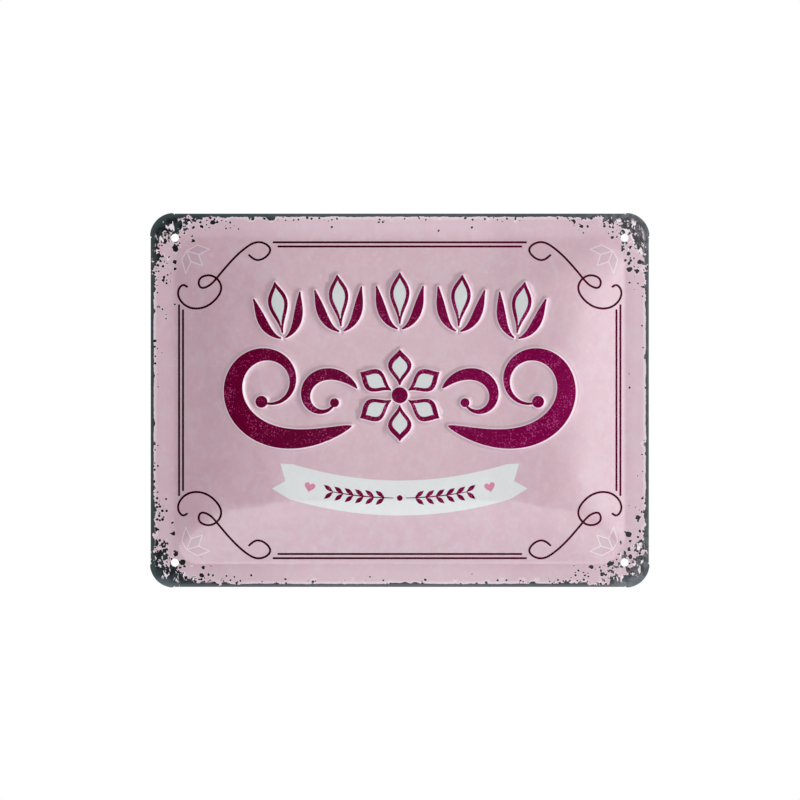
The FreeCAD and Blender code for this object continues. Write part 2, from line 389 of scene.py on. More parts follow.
# %% Floor finish
paper_finish, tree, shader = new_material("floor_paper")
fibres = noise(in_mm(tree), 40.0, 4.0)
feed(shader, {
    "Base Color": layers(srgb(240, 240, 240), (fibres, srgb(246, 246, 246))), "Roughness": 0.8})
fade_from, fade_to = 350.0, 700.0
out_from_middle = put(tree, "ShaderNodeVectorMath", {0: in_mm(tree, (1, 1, 0))}, operation="LENGTH")
faded = times(ramp(out_from_middle.outputs["Value"], fade_from, fade_to),
              put(tree, "ShaderNodeLightPath").outputs["Is Camera Ray"])
paper_white = put(tree, "ShaderNodeEmission", {"Color": (1, 1, 1, 1), "Strength": 1.0})
fading = put(tree, "ShaderNodeMixShader", {0: faded, 1: shader.outputs[0], 2: paper_white.outputs[0]})
feed(tree.nodes["Material Output"], {"Surface": fading.outputs[0]})
print("floor fades from", fade_from, "to", fade_to, "mm")

# %% Floor
floor_drop, floor_radius = 300.0, 720.0
around = np.linspace(0, 2 * np.pi, 97)[:-1]
reach = np.linspace(0, floor_radius, 13)[1:]
floor_points = np.stack([
    np.outer(reach, np.cos(around)),
    np.outer(reach, np.sin(around)),
    np.full((len(reach), len(around)), -floor_drop),
], axis=2).reshape(-1, 3)
second = np.arange(1, len(around) - 1)
floor_middle = np.c_[np.zeros_like(second), second, second + 1]
floor_triangles = np.vstack([grid_triangles(len(reach), len(around), True), floor_middle])
upwards = np.tile([0.0, 0, 1], (len(floor_points), 1))
floor = make_piece("floor", [smooth_patch(floor_points, floor_triangles, upwards)], [paper_finish])

# %% [markdown]
# ## A graded card
#
# What the lacquer mirrors matters as much as its light. A studio hangs cards
# round the camera for this. Here one graded card lies behind it: the left of
# the sign mirrors its dark end and stays deep in colour, and towards the middle
# the card glows, so the ground gets a little paler there. It is seen only in
# reflections. Its piece is named black_card, because most of it is black.

# %% Card
card_finish, tree, shader = new_material("graded_card")
felt = noise(in_mm(tree), 3.0, 2.0)
dark_to, glows_from = -165.0, -50.0
glow = ramp(split(in_mm(tree))[0], dark_to, glows_from)
feed(shader, {
    "Base Color": layers(srgb(10, 10, 10), (felt, srgb(16, 16, 16))),
    "Roughness": 1.0, "Specular IOR Level": 0.0,
    "Emission Color": layers(srgb(0, 0, 0), (glow, srgb(255, 255, 255))), "Emission Strength": 2.0,
})
card_points = np.array([[-620, -1000, -200], [80, -1000, -200], [-620, -1000, 600], [80.0, -1000, 600]])
card_patch = flat_patch(card_points, grid_triangles(2, 2), np.array([0.0, 1, 0]))
card = make_piece("black_card", [card_patch], [card_finish])
card.visible_camera = False
card.visible_diffuse = False

# %% [markdown]
# ## The shape of the sheet
#
# The sheet is a height over its flat plan, so one function of x and z gives the
# whole front, and the back is the same surface one sheet thickness behind.
# Sizes are those of the CAD source, in millimetres.
#
# From the foot of the field the surface rises at a constant slope for 15 mm and
# then eases into the flat middle along a parabola. A press leaves a small
# radius at the foot, which the CAD solid doesn't have. The plan's contours are
# rectangles whose corner radius grows inwards.

# %% Sizes of the pressing
sheet_t = 0.3
half_x, half_z, corner_r = 100.0, 75.0, 9.6
rim_margin = 9.9
field_half = np.array([half_x, half_z]) - rim_margin
field_rise, bevel_width, ease_width = 3.6, 15.0, 19.0
foot_corner_r, centre_corner_r = 10.0, 21.9
foot_blend = 0.8
bevel_slope = field_rise / (bevel_width + ease_width / 2)
corner_growth = (centre_corner_r - foot_corner_r) / (bevel_width + ease_width)
print("the field's sides rise at", round(math.degrees(math.atan(bevel_slope)), 2), "degrees")


# %% Distance inside the field's foot
def inset_at(at):
    """Distance inside the foot line.

    On the straight stretches it is the distance d to the nearer side. In a
    corner the place lies on the arc (a + g d)^2 + (b + g d)^2 = r(d)^2, with
    g = 1 + corner_growth and r(d) = foot_corner_r + corner_growth d.
    """
    past = np.abs(at) - field_half
    straight = -past.max(1)
    radius = foot_corner_r + corner_growth * straight
    grow = 1 + corner_growth
    a, b = (past + foot_corner_r).T
    square = 2 * grow ** 2 - corner_growth ** 2
    half = grow * (a + b) - foot_corner_r * corner_growth
    rest = a ** 2 + b ** 2 - foot_corner_r ** 2
    arc = (np.sqrt(np.maximum(half ** 2 - square * rest, 0)) - half) / square
    in_corner = past.min(1) + np.maximum(straight, -foot_blend) + radius > 0
    return np.where(in_corner, np.minimum(arc, straight), straight)


probe = np.array([[0, 0], [80, 0], [95, 0], [0, 60], [85, 60]], float)
print("insets at five places", inset_at(probe).round(2))


# %% Height of the field, and the sheet's faint waves
def rise(inset):
    """Height of the field: a small parabola at the foot, a slope, a parabola at the top."""
    foot = bevel_slope * (inset + foot_blend) ** 2 / (4 * foot_blend)
    eased = (inset - bevel_width).clip(0, ease_width)
    slope = bevel_slope * (np.minimum(inset, bevel_width) + eased - eased ** 2 / (2 * ease_width))
    return np.where(inset <= -foot_blend, 0, np.where(inset < foot_blend, foot, slope))


def sag(at):
    """Faint waves of thin sheet, sine waves of unlike lengths that are 0 on the rim."""
    x, z = at.T
    wave = np.sin(x / 9.1 + 0.7) * np.cos(z / 12.3 + 0.4) + np.sin((x + 1.7 * z) / 21.0)
    inside = (inset_at(at) / 12).clip(0, 1)
    return 0.012 * inside ** 2 * (2 + wave)


print("rise there", rise(inset_at(probe)).round(3), "and sag", sag(probe).round(3))

# %% [markdown]
# ## The pressed ornament
#
# A stroke is a line whose bend changes evenly along its length, with a half
# width that swells from thin ends to a belly. Petals are straight strokes, and
# the scrolls end in a round boss. Each stroke's outline is the top of the
# relief, and the press rounds its shoulder and its foot, so the height falls
# along a smooth curve 1.75 mm wide. A stroke is therefore kept as a function
# that gives its outline at any distance outwards.

# %% A line that bends
pitch = 1.0


def line(start, heading, length, bend_from=0.0, bend_to=0.0):
    """Points and directions along a line whose bend changes evenly.

    direction(s) = heading + length (bend_from s + (bend_to - bend_from) s^2 / 2)
    """
    def turn(s):
        bend = bend_from * s + (bend_to - bend_from) * s ** 2 / 2
        return math.radians(heading) + length * bend

    count = max(14, int(length / pitch)) + 1
    share = np.linspace(0, 1, count)
    middle = turn((share[1:] + share[:-1]) / 2)
    steps = np.c_[np.cos(middle), np.sin(middle)] * length / (count - 1)
    points = np.array(start, float) + np.vstack([[0, 0], np.cumsum(steps, axis=0)])
    return share, points, turn(share)


quarter_bend = math.pi / 2 / 10
quarter_end = line((0, 0), 0, 10.0, quarter_bend, quarter_bend)[1][-1]
print("a quarter circle 10 mm long ends at", quarter_end.round(2))


# %% Swelling from thin ends to a belly
tip_half_width, swell_sharpness = 0.35, 1.2


def swell(share, widest, widest_at, tip=tip_half_width):
    """Half width: tip at both ends, widest at the share widest_at, a power of a sine between."""
    warped = share ** (math.log(0.5) / math.log(widest_at))
    return tip + (widest - tip) * np.sin(np.pi * warped).clip(0) ** swell_sharpness


print("half widths of a petal", swell(np.linspace(0, 1, 5), 4.7, 0.56).round(2))


# %% Outlines
def outline(points, angles, half_width, offset=0.0, cap=5):
    """Closed outline of a stroke, moved outwards by offset, with round ends."""
    across = np.c_[-np.sin(angles), np.cos(angles)]
    reach = (half_width + offset)[:, None]
    fan = np.radians(np.linspace(90, -90, cap + 2)[1:-1])
    end, start = (np.c_[np.cos(angles[k] + fan), np.sin(angles[k] + fan)] * reach[k] for k in (-1, 0))
    return np.vstack([points + across * reach, points[-1] + end,
                      (points - across * reach)[::-1], points[0] - start])


def disc(centre, radius, count=32):
    """Closed circle."""
    turn = np.linspace(0, 2 * np.pi, count, endpoint=False)
    return np.array(centre, float) + radius * np.c_[np.cos(turn), np.sin(turn)]


def mirror(shape):
    """The same outline on the other side of the upright middle line."""
    return (shape * [-1, 1])[::-1]


print("a boss has", len(disc((0, 0), 3.2)), "points round it")


# %% Strokes and bosses at any offset
def stroke(start, heading, length, bends, widest, widest_at, tip=tip_half_width):
    """A swelling stroke as a function of the offset."""
    share, points, angles = line(start, heading, length, *bends)
    half_width = swell(share, widest, widest_at, tip)
    return lambda offset=0.0: outline(points, angles, half_width, offset)


def boss(centre, radius):
    """A round boss as a function of the offset."""
    return lambda offset=0.0: disc(centre, radius + offset)


def unit(heading):
    """Direction of a heading in degrees."""
    return np.array([math.cos(math.radians(heading)), math.sin(math.radians(heading))])


def petal(foot, heading, start, length, widest, widest_at, tip=tip_half_width):
    """A straight stroke that starts a little way out from its foot."""
    return stroke(foot + start * unit(heading), heading, length, (0.0, 0.0), widest, widest_at, tip)


# how far out it starts, its length, its half width, the share where it is widest, and its tip
rosette_petal, rosette_inlay = (4.3, 13.6, 4.7, 0.56), (6.6, 8.8, 3.0, 0.55, 0.15)
tulip_petal, tulip_inlay = (2.2, 20.0, 3.9, 0.6), (5.2, 14.8, 2.5, 0.6, 0.15)
print("a petal has", len(petal((0, 0), 90, *rosette_petal)()), "points round it")

# %% Rosette
relief_shapes, inlays = [], []
rosette_middle, rosette_boss_r = (0.0, 2.0), 3.2
for heading in range(90, 450, 60):
    relief_shapes.append(petal(rosette_middle, heading, *rosette_petal))
    inlays.append(petal(rosette_middle, heading, *rosette_inlay)())
relief_shapes.append(boss(rosette_middle, rosette_boss_r))
print("rosette of", len(relief_shapes), "shapes")

# %% Row of tulips
tulip_arc_r, tulip_arc_top, tulip_step = 300.0, 28.5, 4.45
leaf_beside, leaf_spread, leaf_length, leaf_half_width = 1.1, 66, 19.5, 1.8
for index in range(-2, 3):
    heading = 90 - tulip_step * index
    along = unit(heading)
    foot = np.array([0, tulip_arc_top - tulip_arc_r]) + tulip_arc_r * along
    relief_shapes.append(petal(foot, heading, *tulip_petal))
    inlays.append(petal(foot, heading, *tulip_inlay)())
    for side in (1, -1):
        beside = foot + side * leaf_beside * np.array([-along[1], along[0]])
        bends = (-side / 8.2, side / 33.3)
        leaf = stroke(beside, heading + side * leaf_spread, leaf_length, bends, leaf_half_width, 0.5)
        relief_shapes.append(leaf)
print("with the tulips", len(relief_shapes), "shapes and", len(inlays), "pale inlays")

# %% Scrolls and curls
# start, heading, length, bends at its start and end, half width, share where it is widest, ball
for start, heading, length, bends, widest, widest_at, ball in (
    ((19.5, -10.3), -20, 114.0, (1 / 330, 1 / 8.26), 4.3, 0.33, 2.4),
    ((17.2, 5.0), 48, 43.5, (-1 / 22.2, -1 / 5.13), 2.4, 0.36, 1.8),
):
    arm = stroke(start, heading, length, bends, widest, widest_at)
    end = line(start, heading, length, *bends)[1][-1]
    mirrored_arm = lambda offset=0.0, arm=arm: mirror(arm(offset))
    relief_shapes += [boss(end, ball), boss(end * [-1, 1], ball), arm, mirrored_arm]
    print("a scroll of", length, "mm ends at", end.round(1))
print(len(relief_shapes), "pressed shapes in all")

# %% [markdown]
# ## The flat print
#
# Rules, corner curls and corner blossoms are printed and not pressed. Each is a
# closed outline in the plan. A curl is a smooth cubic spline through a few
# points, drawn with a pen of even width, and is mirrored into the other
# corners. It crosses itself, so it is drawn in two halves: an outline that
# crosses itself would leave a hole at the crossing.

# %% Smooth line through knots
def smooth_line(knots, step=0.7):
    """Natural cubic spline through knots, spaced evenly.

    Its second derivatives at the knots solve one linear system, in which each
    row makes the slopes of two neighbouring pieces agree.
    """
    knots = np.array(knots, float)
    gap = np.linalg.norm(np.diff(knots, axis=0), axis=1)
    at = np.r_[0, np.cumsum(gap)]
    count = len(knots)
    inner = np.arange(1, count - 1)
    system = np.eye(count)
    system[inner, inner - 1] = gap[:-1]
    system[inner, inner] = 2 * (gap[:-1] + gap[1:])
    system[inner, inner + 1] = gap[1:]
    change = np.diff(knots, axis=0) / gap[:, None]
    right = np.zeros((count, 2))
    right[inner] = 6 * np.diff(change, axis=0)
    bend = np.linalg.solve(system, right)
    where = np.linspace(0, at[-1], int(at[-1] / step) + 1)
    k = (np.searchsorted(at, where, side="right") - 1).clip(0, count - 2)
    t = (where - at[k])[:, None]
    h = gap[k][:, None]
    slope = change[k] - h * (2 * bend[k] + bend[k + 1]) / 6
    return knots[k] + t * slope + t ** 2 * bend[k] / 2 + t ** 3 * (bend[k + 1] - bend[k]) / (6 * h)


curl = smooth_line((
    (-60.2, 58.0), (-57.3, 56.1), (-53.0, 57.8), (-51.8, 60.2), (-55.6, 63.2), (-61.3, 61.2),
    (-67.7, 55.2), (-73.2, 48.7), (-76.9, 45.4), (-79.5, 45.1), (-80.3, 47.6), (-76.9, 49.9),
    (-73.2, 48.7), (-71.3, 45.1), (-73.5, 40.3), (-78.4, 37.1), (-84.0, 37.1), (-88.0, 40.4),
    (-88.4, 44.4), (-86.6, 46.1), (-85.1, 45.4),
))
print("the corner curl has", len(curl), "points")


# %% Pen lines
def pen(points, width, taper=0.0):
    """Outline of a pen line, a little thinner towards its ends by taper."""
    step = np.gradient(points, axis=0)
    angles = np.arctan2(step[:, 1], step[:, 0])
    share = np.linspace(0, 1, len(points))
    return outline(points, angles, width / 2 * (1 - taper * (2 * share - 1) ** 2))


def bar(start, end, width, step=1.6):
    """Straight pen line."""
    start, end = np.array(start, float), np.array(end, float)
    count = max(2, int(np.linalg.norm(end - start) / step))
    return pen(start + np.linspace(0, 1, count)[:, None] * (end - start), width)


print("a bar of 10 mm has", len(bar((0, 0), (10, 0), 0.8)), "points round it")


# %% Rules and corner curls
def four_corners(shape):
    """A top-left outline and its mirror images in the other corners."""
    return [shape, mirror(shape), mirror(-shape), -shape]


rule_width, curl_width = 0.80, 0.84
rules = []
for side in (1, -1):
    for reach_x, z in ((50.5, 63.2), (48.6, 61.5)):
        rules.append(bar((-reach_x, side * z), (reach_x, side * z), rule_width))
    for reach_z, x in ((38.0, 88.3), (36.0, 86.7)):
        rules.append(bar((side * x, -reach_z), (side * x, reach_z), rule_width))
halfway = len(curl) // 2
curls = [shape for half in (curl[:halfway + 2], curl[halfway - 2:])
         for shape in four_corners(pen(half, curl_width))]
print(len(rules), "rules and", len(curls), "half curls")

# %% Corner blossoms
blossom_width = 0.42
blossom_foot = (-85.3, 59.8)
blossom_tips = ((-76.1, 60.4), (-78.9, 53.9), (-85.6, 50.8))
blossom_sides = ((-80.9, 62.1), (-80.4, 58.3), (-83.5, 55.4), (-87.2, 56.3))
blossom_lines = [(blossom_foot, side) for side in blossom_sides]
petals = []
for tip, before, after in zip(blossom_tips, blossom_sides, blossom_sides[1:]):
    blossom_lines += [(before, tip), (tip, after)]
    petals += four_corners(np.array([blossom_foot, before, tip, after]))
blossoms = [shape for ends in blossom_lines for shape in four_corners(bar(*ends, blossom_width))]
print(len(blossoms), "blossom lines round", len(petals), "petals")

# %% [markdown]
# ## The ribbon
#
# A plain pale ribbon hangs below the scrolls. It is a strip that bends upwards
# to both sides along a parabola and ends in notched tails. The hearts and the
# leafy sprigs on it follow the same bend, so all of them take their places from
# one function of the share across and the level up.

# %% Ribbon
ribbon_half, ribbon_taper, ribbon_foot = 44.0, 1.5, -46.0
ribbon_lift, ribbon_height = 6.5, 14.0


def along_ribbon(share, level):
    """Place on the ribbon: share runs from -1 to 1 across, level from 0 to 1 up."""
    share = np.asarray(share, float)
    x = share * (ribbon_half - ribbon_taper * level)
    return np.stack([x, ribbon_foot + ribbon_lift * share ** 2 + ribbon_height * level], -1)


across = np.linspace(-1, 1, 45)
ribbon_tail = np.array([[51.0, -35.2], [45.6, -32.2], [47.6, -25.2]])
ribbon = np.vstack([
    along_ribbon(across, 0.0), ribbon_tail, along_ribbon(across, 1.0)[::-1], mirror(ribbon_tail)])
print("the ribbon's outline has", len(ribbon), "points")

# %% Hearts
heart_scale, heart_share = 0.135, 0.83
turn = np.linspace(0, 2 * np.pi, 48, endpoint=False)
heart = np.stack([
    16 * np.sin(turn) ** 3,
    13 * np.cos(turn) - 5 * np.cos(2 * turn) - 2 * np.cos(3 * turn) - np.cos(4 * turn),
], -1)[::-1] * heart_scale
hearts = []
for share in (-heart_share, heart_share):
    lean = -math.atan(2 * ribbon_lift * share / ribbon_half)
    spin = np.array([[math.cos(lean), -math.sin(lean)], [math.sin(lean), math.cos(lean)]])
    hearts.append(heart @ spin + along_ribbon(share, 0.5))
print("hearts", np.ptp(hearts[0], axis=0).round(2), "mm wide and high")

# %% Sprigs
stem_from, stem_to, stem_width = 0.06, 0.62, 0.5
leaf_from, leaf_step, leaf_angle = 0.14, 0.095, 38
sprig_leaf, bead_r = (0.0, 4.4, 0.85, 0.55, 0.12), 1.15
sprig = []
for side in (-1, 1):
    sprig.append(pen(along_ribbon(side * np.linspace(stem_from, stem_to, 26), 0.5), stem_width, 0.4))
    for share in np.arange(leaf_from, stem_to, leaf_step):
        for lift in (1, -1):
            heading = 90 - side * 90 + side * lift * leaf_angle
            sprig.append(petal(along_ribbon(side * share, 0.5), heading, *sprig_leaf)())
sprig.append(disc(along_ribbon(0.0, 0.5), bead_r, 20))
print(len(sprig), "shapes in the sprigs")

# %% [markdown]
# ## One net for sheet and print
#
# Relief only 0.6 mm high, with rounded edges 1.75 mm wide, would need a very
# fine grid all over. A constrained Delaunay net needs it only where something
# happens: it takes rings round each pressed shape, every printed outline, the
# foot of the field, the holes and the cut edge as lines that triangles may not
# cross, and fills the rest with an even grid. The print then follows the net's
# own edges, so it stays as crisp as ink on tin.

# %% Folds and corner tabs
slit_width, hem_inset, hem_gap, hem_leg, hem_end_slant = 0.3, 0.25, 0.2, 4.8, 3.0
bend_outer_r = sheet_t + hem_gap / 2
bend_inner_r = hem_gap / 2
fold = np.array([half_x, half_z]) - hem_inset - bend_outer_r
half_run = np.array([half_z, half_x]) - corner_r - slit_width
station_pitch = 1.5


def stations(side):
    """Even places along the fold of a side: 0 is right or left, 1 is top or bottom."""
    return np.linspace(-half_run[side], half_run[side], int(2 * half_run[side] / station_pitch) + 1)


def round_the_sheet(shape):
    """A top-right outline and its mirror images, as they follow each other round the sheet."""
    return [shape, mirror(shape), -shape, mirror(-shape)]


arc = np.radians(np.linspace(5, 85, 24))
slit_x, slit_z = half_run[1] + slit_width, half_run[0] + slit_width
tabs = round_the_sheet(np.vstack([
    [[fold[0], half_run[0]], [fold[0], slit_z], [half_x - hem_inset, slit_z]],
    np.c_[half_x - corner_r + corner_r * np.cos(arc), half_z - corner_r + corner_r * np.sin(arc)],
    [[slit_x, half_z - hem_inset], [slit_x, fold[1]], [half_run[1], fold[1]]],
]))
print(len(tabs), "tabs, folds at", fold, "mm from the middle")

# %% Cut edge and holes
upright, level = stations(0)[1:-1], stations(1)[1:-1]
sheet_edge = np.vstack([
    tabs[0], np.c_[level[::-1], np.full(len(level), fold[1])],
    tabs[1], np.c_[np.full(len(upright), -fold[0]), upright[::-1]],
    tabs[2], np.c_[level, np.full(len(level), -fold[1])],
    tabs[3], np.c_[np.full(len(upright), fold[0]), upright],
])
hole_from_edge, hole_r, ring_beyond = 10.0, 1.6, 0.9
hole_places = [(sx * (half_x - hole_from_edge), sz * (half_z - hole_from_edge))
               for sx in (-1, 1) for sz in (-1, 1)]
holes = [disc(place, hole_r, 40) for place in hole_places]
hole_rings = [disc(place, hole_r + ring_beyond, 40) for place in hole_places]
print("cut edge and folds", len(sheet_edge), "points,", len(holes), "holes")


# %% Contours at the field's foot
def foot_contour(inset, step=1.3):
    """Contour of the field: a rectangle inset all round, its corners rounded."""
    radius = foot_corner_r + corner_growth * inset
    turn = np.radians(np.linspace(0, 90, 14))
    corners = round_the_sheet(field_half - inset - radius + radius * np.c_[np.cos(turn), np.sin(turn)])
    pieces = []
    for here, following in zip(corners, corners[1:] + corners[:1]):
        gap = following[0] - here[-1]
        count = int(np.linalg.norm(gap) / step)
        pieces += [here, here[-1] + np.linspace(0, 1, count + 1)[1:-1, None] * gap]
    return np.vstack(pieces)


foot_rings = [foot_contour(inset) for inset in (-0.8, -0.4, 0.0, 0.4, 0.8)]
print(len(foot_rings), "contours of", len(foot_rings[0]), "points")

# %% All lines that the net keeps
shoulder, relief_width = 0.12, 1.75
ring_offsets = (-0.12, 0.0, 0.15, 0.36, 0.60, 0.88, 1.20, 1.58)
inked = [shape() for shape in relief_shapes]
rings = [sheet_edge] + holes + hole_rings + foot_rings
rings += [shape(offset) for shape in relief_shapes for offset in ring_offsets]
rings += inlays + rules + curls + blossoms + [ribbon] + hearts + sprig
print(len(rings), "closed lines")

# %% Even grid between the lines
grid_pitch, cell = 1.5, 0.5
grid_x, grid_z = (np.linspace(-f, f, int(2 * f / grid_pitch) + 1)[1:-1] for f in fold)
grid = np.stack(np.meshgrid(grid_x, grid_z), -1).reshape(-1, 2)


def cells_of(at):
    """Column and row of the small square cell that each place lies in."""
    return (((at + [half_x, half_z]) / cell).astype(int) + 1).T


taken = np.zeros((int(2 * half_x / cell) + 4, int(2 * half_z / cell) + 4), bool)
column, row = cells_of(np.vstack(rings))
for step_x in (-1, 0, 1):
    for step_z in (-1, 0, 1):
        taken[(column + step_x).clip(0), (row + step_z).clip(0)] = True
grid = grid[~taken[tuple(cells_of(grid))]]
print(len(grid), "grid points lie clear of all lines")

# %% The net
first = np.cumsum([0] + [len(ring) for ring in rings])
fixed = np.vstack([np.c_[np.arange(len(ring)), np.roll(np.arange(len(ring)), -1)] + k
                   for ring, k in zip(rings, first)])
found = delaunay_2d_cdt(np.vstack(rings + [grid]).tolist(), fixed.tolist(), [], 0, 1e-5)
plan = np.array([place[:] for place in found[0]])
net = np.array(found[2])
print("net", len(plan), "points,", len(net), "triangles")

# %% [markdown]
# ## What lies on the sheet
#
# The net also covers the holes and the places beyond the cut edge. A signed
# distance to each outline, negative inside it, tells which triangles lie on the
# sheet. The same distance later gives the relief its height and each colour its
# triangles.

# %% Signed distance
hair = 1.3e-7


def signed_distance(at, shape):
    """Distance from each place to a closed outline, negative inside it.

    A place is inside when a level ray from it crosses the outline an odd number
    of times. The ray starts a hair higher, so that it never meets a corner.
    """
    along = np.roll(shape, -1, axis=0) - shape
    keep = (along ** 2).sum(1) > 1e-14
    start, along = shape[keep], along[keep]
    length = (along ** 2).sum(1)
    rise_z = np.where(along[:, 1] == 0, 1e-30, along[:, 1])
    out = np.empty(len(at))
    for part in np.array_split(np.arange(len(at)), 1 + len(at) * len(start) // 1500000):
        gap = at[part, None] - start
        share = ((gap * along).sum(2) / length).clip(0, 1)
        far = ((gap - share[..., None] * along) ** 2).sum(2).min(1)
        level = gap[..., 1] + hair
        between = (level < 0) != (level < along[:, 1])
        left = gap[..., 0] < along[:, 0] * level / rise_z
        inside = (between & left).sum(1) % 2 == 1
        out[part] = np.where(inside, -1, 1) * np.sqrt(far)
    return out


def distance_to_any(at, shapes, margin=1.9):
    """Smallest signed distance to several outlines, found only near each of them."""
    nearest = np.full(len(at), margin)
    for shape in shapes:
        index = np.flatnonzero(
            ((at > shape.min(0) - margin) & (at < shape.max(0) + margin)).all(1))
        if len(index):
            nearest[index] = np.minimum(nearest[index], signed_distance(at[index], shape))
    return nearest


to_edge = -float(signed_distance(probe[:1], sheet_edge)[0])
print("the middle lies", round(to_edge, 2), "mm inside the edge")

# %% Triangles on the sheet
middles = plan[net].mean(1)
on_sheet = signed_distance(middles, sheet_edge) < 0
in_hole = distance_to_any(middles, holes) < 0
net = net[on_sheet & ~in_hole]
middles = plan[net].mean(1)
used, place = np.unique(net, return_inverse=True)
net = place.reshape(-1, 3)
plan = plan[used]
print("on the sheet", len(net), "triangles")

# %% Heights and normals
film = 0.02
relief_height = 0.6 - film


def front_y(at):
    """Y of the front: sheet, field and relief, less the faint sag."""
    share = ((distance_to_any(at, inked) + shoulder) / relief_width).clip(0, 1)
    relief = relief_height * (1 - share ** 2 * (3 - 2 * share))
    return -sheet_t - rise(inset_at(at)) - relief + sag(at)


y = front_y(plan)
nudge = 0.02
slopes = [(front_y(plan + step) - front_y(plan - step)) / (2 * nudge)
          for step in np.array([[nudge, 0], [0, nudge]])]
front_normals = np.c_[slopes[0], -np.ones(len(plan)), slopes[1]]
front_normals /= np.linalg.norm(front_normals, axis=1, keepdims=True)
front_points = np.c_[plan[:, 0], y, plan[:, 1]]
print("front from y", round(float(y.min()), 3), "to", round(float(y.max()), 3), "mm")

# %% [markdown]
# ## Hems and cut edges
#
# Each straight side goes round a half bend and lies flat against the back, its
# ends cut at a slant. That is one profile carried along the fold. The profile
# starts on the front's own fold line and ends on the back's, so the sheet stays
# one closed skin. The corner tabs and the holes show the bare cut thickness.

# %% One hem
def hem_patches(side):
    """Outer and inner profile across the fold, carried along it, and the hem's three cut ends."""
    bend = np.radians(np.linspace(-90, 90, 9))
    leg = hem_leg * np.array([0.33, 0.66, 1.0])
    along = stations(side)
    normal = np.c_[np.r_[np.cos(bend), np.zeros(3)], np.r_[np.sin(bend), np.ones(3)]]
    patches, profiles = [], []
    for slot, radius, leg_y in ((0, bend_outer_r, hem_gap + sheet_t), (1, bend_inner_r, hem_gap)):
        reach = np.r_[radius * np.cos(bend), -leg]
        depth = np.r_[bend_inner_r + radius * np.sin(bend), np.full(3, leg_y)]
        shorter = 1 - (-reach).clip(0) / hem_leg * hem_end_slant / half_run[side]
        points = np.empty((len(along), len(reach), 3))
        points[..., 0], points[..., 1] = fold[side] + reach, depth
        points[..., 2] = along[:, None] * shorter
        normals = np.zeros_like(points)
        normals[..., :2] = normal if slot == 0 else -normal
        triangles = grid_triangles(*points.shape[:2])
        patches.append(smooth_patch(points.reshape(-1, 3), triangles, normals.reshape(-1, 3), slot))
        profiles.append(points)
    outer, inner = profiles
    every = slice(None)
    for cut, towards in (
        ((every, -1), [-1.0, 0, 0]), ((0, every), [0, 0, -1.0]), ((-1, every), [0, 0, 1.0]),
    ):
        ends = np.stack([outer[cut], inner[cut]], 1)
        triangles = grid_triangles(len(ends), 2)
        patches.append(flat_patch(ends.reshape(-1, 3), triangles, np.array(towards), 1))
    return patches


print("one hem takes", len(hem_patches(0)), "patches")


# %% Hems on all four sides
def turned(patch, quarter):
    """A patch made for the right-hand side, turned about Y to the side of one quarter."""
    c, s = round(math.cos(math.pi / 2 * quarter)), round(math.sin(math.pi / 2 * quarter))
    spin = np.array([[c, 0, s], [0, 1, 0], [-s, 0, c]], float)
    points, triangles, normals, slot = patch
    return points @ spin, triangles, normals @ spin, slot


hems = [turned(patch, quarter) for quarter in range(4) for patch in hem_patches(quarter % 2)]
print(len(hems), "hem patches")


# %% Cut edges and the whole sheet
def wall(path, closed=False):
    """Bare cut edge along a path in the plan, facing to the right of its direction."""
    count = len(path)
    depth = np.repeat([-sheet_t, 0.0], count)
    points = np.insert(np.tile(path, (2, 1)), 1, depth, axis=1)
    triangles = grid_triangles(2, count, closed)
    a = triangles[:, 0] % count
    along = path[(a + 1) % count] - path[a]
    towards = np.c_[along[:, 1], np.zeros(len(along)), -along[:, 0]]
    return flat_patch(points, triangles, towards, 1)


back_points = front_points + [0, sheet_t, 0]
sheet_patches = [
    smooth_patch(front_points, net, front_normals, 0),
    smooth_patch(back_points, net, -front_normals, 1),
    *hems,
    *[wall(path) for path in tabs],
    *[wall(hole[::-1], True) for hole in holes],
]
print(sum(len(patch[1]) for patch in sheet_patches), "triangles in the sheet's patches")

# %% [markdown]
# ## Films of ink
#
# The printed shapes could be masks in the sheet's material. Here each colour is
# a film of its own instead, cut from the net's own triangles and 0.04 mm thick,
# half of it above the tin. Its edge is then a real edge, sharp at any distance,
# and its finish is a material of its own, as each ink on the press is.

# %% Cutting a film
def film_patches(chosen):
    """Closed film over the chosen triangles: a top, a bottom and the wall between."""
    used, place = np.unique(net[chosen], return_inverse=True)
    triangles = place.reshape(-1, 3)
    top, bottom = (front_points[used] + [0, lift, 0] for lift in (-film, film))
    size = len(used)
    start = triangles.ravel()
    end = np.roll(triangles, -1, axis=1).ravel()
    rim = ~np.isin(start * size + end, end * size + start)
    a, b = start[rim], end[rim]
    walls = np.vstack([np.c_[b, a, a + size], np.c_[b, a + size, b + size]])
    both = np.vstack([top, bottom])
    return [
        smooth_patch(top, triangles, front_normals[used]),
        smooth_patch(bottom, triangles, -front_normals[used]),
        flat_patch(both, walls, face_normals(both, walls)),
    ]


print("a film of one triangle has", sum(len(p[1]) for p in film_patches([0])), "triangles")


# %% Which triangles each colour takes
def inside_any(shapes):
    """For each triangle of the net, whether its middle lies in one of the outlines."""
    return distance_to_any(middles, shapes, 0.5) < 0


pale, in_heart, in_sprig, on_blossom = map(inside_any, (inlays, hearts, sprig, blossoms))
prints = {
    "ink_ornament": (inside_any(inked) & ~pale) | in_sprig,
    "pale_inlays": pale,
    "frame_lines": inside_any(rules + curls),
    "ribbon": inside_any([ribbon]) & ~in_heart & ~in_sprig,
    "hearts": in_heart,
    "corner_blossoms": on_blossom,
    "blossom_petals": inside_any(petals) & ~on_blossom,
}
print({name: int(chosen.sum()) for name, chosen in prints.items()})

